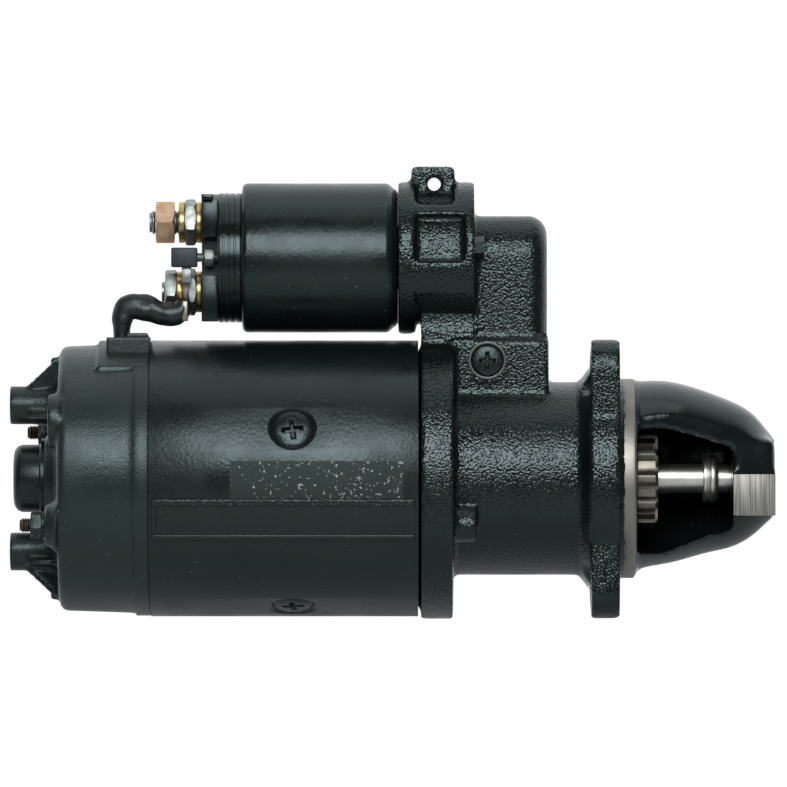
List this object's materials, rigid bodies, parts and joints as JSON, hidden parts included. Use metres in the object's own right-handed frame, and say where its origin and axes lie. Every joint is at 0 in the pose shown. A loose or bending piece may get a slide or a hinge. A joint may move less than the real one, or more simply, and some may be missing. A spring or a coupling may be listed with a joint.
{
  "type": "starter motor",
  "caption": "Pre-engaged starter motor: round yoke with a solenoid on top, a shift lever that slides the pinion along the shaft, and a three-ear mounting flange with a cast nose.",
  "frame": {"origin": "pilot axis at the mounting flange's front face", "axes": "+X along the shaft towards the nose, +Z from the shaft towards the solenoid, -Y the side where the pinion meets the ring gear"},
  "size_m": [0.3164, 0.1227, 0.1874],
  "materials": {
    "cast_paint": "thick black paint over a sand casting",
    "enamel": "smooth black enamel",
    "machined_steel": "turned",
    "gear_steel": "hobbed and hardened",
    "spring_steel": "oil hardened",
    "zinc_plate": "bright zinc plate",
    "yellow_zinc": "yellow passivated zinc plate",
    "copper_plate": "copper plated",
    "copper": "drawn copper",
    "bronze": "sintered, oil filled",
    "laminations": "stacked electrical steel",
    "winding": "varnished copper",
    "carbon": "copper and graphite",
    "phenolic": "black phenolic moulding",
    "nylon": "natural moulding",
    "rubber": "black rubber",
    "black_oxide": "blackened screw"
  },
  "bodies": {
    "housing": {"drive_end_housing": "cast_paint", "drive_end_bush": "bronze", "commutator_end_bush": "bronze", "yoke": "enamel", "pole_shoe_1": "machined_steel", "pole_shoe_2": "machined_steel", "pole_shoe_3": "machined_steel", "pole_shoe_4": "machined_steel", "pole_screws": "black_oxide", "field_winding": "winding", "commutator_end_shield": "enamel", "bearing_cap": "enamel", "brush_plate": "zinc_plate", "brush_holders": "zinc_plate", "through_bolts": "zinc_plate", "through_bolt_nuts": "zinc_plate", "through_bolt_washers": "yellow_zinc", "lever_pivot_bolt": "black_oxide", "solenoid_case": "enamel", "solenoid_core": "machined_steel", "solenoid_bobbin": "nylon", "solenoid_winding": "winding", "solenoid_cap": "phenolic", "plunger_spring": "spring_steel", "contact_spring": "spring_steel", "terminal_bolts": "zinc_plate", "terminal_washers": "yellow_zinc", "battery_nut": "copper_plate", "terminal_nuts": "zinc_plate", "cable_lug": "copper", "switch_insulator": "phenolic", "switch_terminal": "zinc_plate", "switch_nut": "zinc_plate", "solenoid_screws": "zinc_plate", "field_cable": "rubber", "cable_grommet": "rubber", "brush_spring_1": "spring_steel", "brush_spring_2": "spring_steel", "brush_spring_3": "spring_steel", "brush_spring_4": "spring_steel"},
    "armature": {"armature_shaft": "machined_steel", "armature_core": "laminations", "armature_winding": "winding", "commutator": "copper", "stop_ring": "machined_steel", "snap_ring": "spring_steel"},
    "drive": {"clutch_sleeve": "machined_steel", "clutch_shell": "machined_steel", "clutch_rollers": "machined_steel", "engagement_collar": "gear_steel", "meshing_spring": "spring_steel"},
    "pinion": {"pinion": "gear_steel"},
    "lever": {"shift_lever": "gear_steel"},
    "plunger": {"plunger": "machined_steel"},
    "contacts": {"contact_rod": "machined_steel", "contact_bridge": "copper"},
    "brush_1": {"brush_1": "carbon"},
    "brush_2": {"brush_2": "carbon"},
    "brush_3": {"brush_3": "carbon"},
    "brush_4": {"brush_4": "carbon"}
  },
  "joints": [
    {"name": "plunger_slide", "type": "slide", "parent": "housing", "child": "plunger", "axis": [-1, 0, 0], "range_m": [0, 0.0148], "stiffness_N_per_m": 1500, "springref_m": -0.03, "deforming": ["plunger_spring"]},
    {"name": "lever_swing", "type": "hinge", "parent": "housing", "child": "lever", "pos_m": [-0.0544, 0, 0.0488], "axis": [0, -1, 0], "range_deg": [0, 20.1]},
    {"name": "armature_spin", "type": "hinge", "parent": "housing", "child": "armature", "pos_m": [0, 0, 0], "axis": [1, 0, 0], "continuous": true},
    {"name": "drive_slide", "type": "slide", "parent": "armature", "child": "drive", "axis": [1, 0, 0], "range_m": [0, 0.0172]},
    {"name": "pinion_spin", "type": "hinge", "parent": "drive", "child": "pinion", "pos_m": [0, 0, 0], "axis": [1, 0, 0], "continuous": true},
    {"name": "contact_slide", "type": "slide", "parent": "housing", "child": "contacts", "axis": [-1, 0, 0], "range_m": [0, 0.0031], "deforming": ["contact_spring"]},
    {"name": "brush_1_lift", "type": "slide", "parent": "housing", "child": "brush_1", "axis": [0, 0.3665, 0.9304], "range_m": [0, 0.004], "stiffness_N_per_m": 900, "springref_m": -0.015, "deforming": ["brush_spring_1"]},
    {"name": "brush_2_lift", "type": "slide", "parent": "housing", "child": "brush_2", "axis": [0, -0.9304, 0.3665], "range_m": [0, 0.004], "stiffness_N_per_m": 900, "springref_m": -0.015, "deforming": ["brush_spring_2"]},
    {"name": "brush_3_lift", "type": "slide", "parent": "housing", "child": "brush_3", "axis": [0, -0.3665, -0.9304], "range_m": [0, 0.004], "stiffness_N_per_m": 900, "springref_m": -0.015, "deforming": ["brush_spring_3"]},
    {"name": "brush_4_lift", "type": "slide", "parent": "housing", "child": "brush_4", "axis": [0, 0.9304, -0.3665], "range_m": [0, 0.004], "stiffness_N_per_m": 900, "springref_m": -0.015, "deforming": ["brush_spring_4"]}
  ],
  "couplings": [
    {"joint": "lever_swing", "follows": "plunger_slide", "rad_per_m": 23.585},
    {"joint": "drive_slide", "follows": "plunger_slide", "ratio": 1.1554},
    {"joint": "contact_slide", "follows": "plunger_slide", "ratio": 0.2027}
  ]
}
